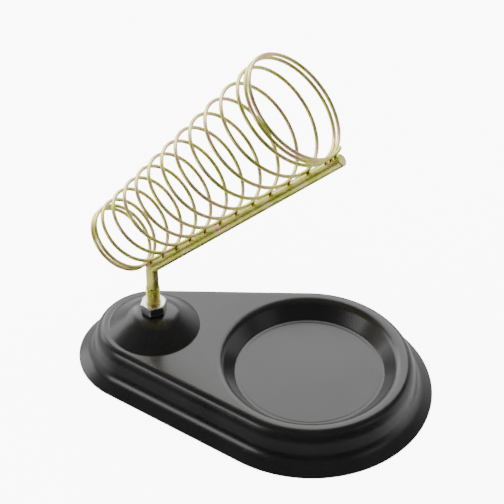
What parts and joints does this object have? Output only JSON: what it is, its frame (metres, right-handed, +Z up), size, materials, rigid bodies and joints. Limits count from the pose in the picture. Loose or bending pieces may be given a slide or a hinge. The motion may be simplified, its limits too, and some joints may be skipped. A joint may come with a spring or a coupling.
{
  "type": "soldering iron stand",
  "caption": "Free-standing soldering iron stand: a wire cone on a bent rod holds the hot iron over a pressed steel base with a round dish for a sponge.",
  "frame": {"origin": "on the table, under the middle of the base's bounding box", "axes": "+X from the post towards the wide end and the dish, +Y across the base to the left of that, +Z up"},
  "size_m": [0.154, 0.1038, 0.1551],
  "materials": {
    "base_enamel": "glossy black stoved enamel over pressed steel",
    "yellow_passivated": "bright zinc plate with an iridescent yellow passivate, satin gloss",
    "bright_zinc": "clear bright zinc plate",
    "weld": "heat-browned weld metal"
  },
  "bodies": {
    "base": {"base_plate": "base_enamel"},
    "holder": {"post_rod": "yellow_passivated", "wire_cone": "yellow_passivated", "top_nut": "bright_zinc", "flat_washer": "bright_zinc", "lock_washer": "bright_zinc", "clamp_nut": "bright_zinc", "weld_01": "weld", "weld_02": "weld", "weld_03": "weld", "weld_04": "weld", "weld_05": "weld", "weld_06": "weld", "weld_07": "weld", "weld_08": "weld", "weld_09": "weld", "weld_10": "weld", "weld_11": "weld", "weld_12": "weld", "weld_13": "weld", "weld_14": "weld", "weld_15": "weld"}
  },
  "joints": [
    {"name": "holder_swivel", "type": "hinge", "parent": "base", "child": "holder", "pos_m": [-0.0438, 0, 0.025], "axis": [0, 0, 1], "continuous": true}
  ]
}
